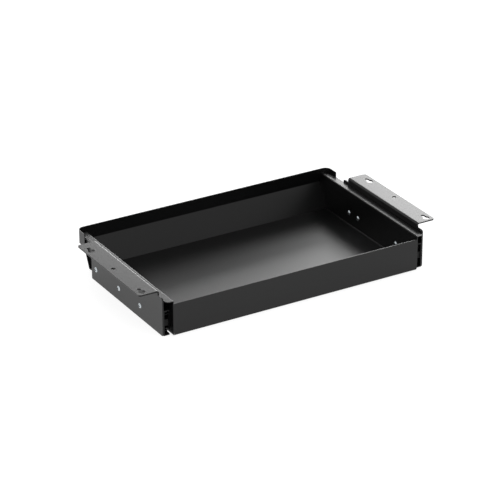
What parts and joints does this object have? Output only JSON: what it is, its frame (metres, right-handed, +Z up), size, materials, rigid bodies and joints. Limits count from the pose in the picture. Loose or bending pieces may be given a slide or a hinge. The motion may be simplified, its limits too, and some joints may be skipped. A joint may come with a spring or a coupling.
{
  "type": "under desk drawer",
  "caption": "Shallow black sheet-metal drawer on full-extension ball slides, hung from keyhole-slotted brackets that screw to the underside of a desk.",
  "frame": {"origin": "on the desk plane, midway between the round screw holes in the middle of the two bracket flanges", "axes": "+Z up, out of the desk-side faces of the flanges; +X to the drawer's right across its width; the drawer opens towards -Y"},
  "size_m": [0.58, 0.3136, 0.0768],
  "materials": {
    "powder_coat": "satin black powder coat with fine texture",
    "rail_coat": "smooth black electro-coat",
    "cage_zinc": "zinc plated strip",
    "ball_steel": "polished bearing steel",
    "rubber": "matte",
    "plastic": "moulded, fine grain",
    "screw_zinc": "bright zinc plate"
  },
  "bodies": {
    "desk_mount": {"bracket_left": "powder_coat", "bracket_right": "powder_coat", "outer_rail_left": "rail_coat", "outer_rail_right": "rail_coat", "rail_bumper_left": "rubber", "rail_bumper_right": "rubber", "bracket_screws_left": "screw_zinc", "bracket_screws_right": "screw_zinc"},
    "drawer": {"tray_floor": "powder_coat", "side_panel_left": "powder_coat", "side_panel_right": "powder_coat", "front_panel": "powder_coat", "inner_rail_left": "rail_coat", "inner_rail_right": "rail_coat", "lever_pin_left": "screw_zinc", "lever_pin_right": "screw_zinc", "tray_screws_left": "screw_zinc", "tray_screws_right": "screw_zinc"},
    "middle_slide_left": {"middle_rail_left": "rail_coat"},
    "outer_ball_row_left": {"outer_cage_left": "cage_zinc", "outer_balls_left": "ball_steel"},
    "inner_ball_row_left": {"inner_cage_left": "cage_zinc", "inner_balls_left": "ball_steel"},
    "middle_slide_right": {"middle_rail_right": "rail_coat"},
    "outer_ball_row_right": {"outer_cage_right": "cage_zinc", "outer_balls_right": "ball_steel"},
    "inner_ball_row_right": {"inner_cage_right": "cage_zinc", "inner_balls_right": "ball_steel"},
    "lever_left": {"release_lever_left": "plastic"},
    "lever_right": {"release_lever_right": "plastic"}
  },
  "joints": [
    {"name": "drawer_slide", "type": "slide", "parent": "desk_mount", "child": "drawer", "axis": [0, -1, 0], "range_m": [0, 0.25]},
    {"name": "middle_slide_left_travel", "type": "slide", "parent": "desk_mount", "child": "middle_slide_left", "axis": [0, -1, 0], "range_m": [0, 0.125]},
    {"name": "outer_ball_row_left_travel", "type": "slide", "parent": "desk_mount", "child": "outer_ball_row_left", "axis": [0, -1, 0], "range_m": [0, 0.0625]},
    {"name": "inner_ball_row_left_travel", "type": "slide", "parent": "desk_mount", "child": "inner_ball_row_left", "axis": [0, -1, 0], "range_m": [0, 0.1875]},
    {"name": "middle_slide_right_travel", "type": "slide", "parent": "desk_mount", "child": "middle_slide_right", "axis": [0, -1, 0], "range_m": [0, 0.125]},
    {"name": "outer_ball_row_right_travel", "type": "slide", "parent": "desk_mount", "child": "outer_ball_row_right", "axis": [0, -1, 0], "range_m": [0, 0.0625]},
    {"name": "inner_ball_row_right_travel", "type": "slide", "parent": "desk_mount", "child": "inner_ball_row_right", "axis": [0, -1, 0], "range_m": [0, 0.1875]},
    {"name": "lever_left_pivot", "type": "hinge", "parent": "drawer", "child": "lever_left", "pos_m": [-0.2433, -0.101, -0.054], "axis": [1, 0, 0], "range_deg": [-12, 12], "stiffness_Nm_per_rad": 0.02},
    {"name": "lever_right_pivot", "type": "hinge", "parent": "drawer", "child": "lever_right", "pos_m": [0.2433, -0.101, -0.054], "axis": [1, 0, 0], "range_deg": [-12, 12], "stiffness_Nm_per_rad": 0.02}
  ],
  "couplings": [
    {"joint": "middle_slide_left_travel", "follows": "drawer_slide", "ratio": 0.5},
    {"joint": "outer_ball_row_left_travel", "follows": "drawer_slide", "ratio": 0.25},
    {"joint": "inner_ball_row_left_travel", "follows": "drawer_slide", "ratio": 0.75},
    {"joint": "middle_slide_right_travel", "follows": "drawer_slide", "ratio": 0.5},
    {"joint": "outer_ball_row_right_travel", "follows": "drawer_slide", "ratio": 0.25},
    {"joint": "inner_ball_row_right_travel", "follows": "drawer_slide", "ratio": 0.75}
  ]
}
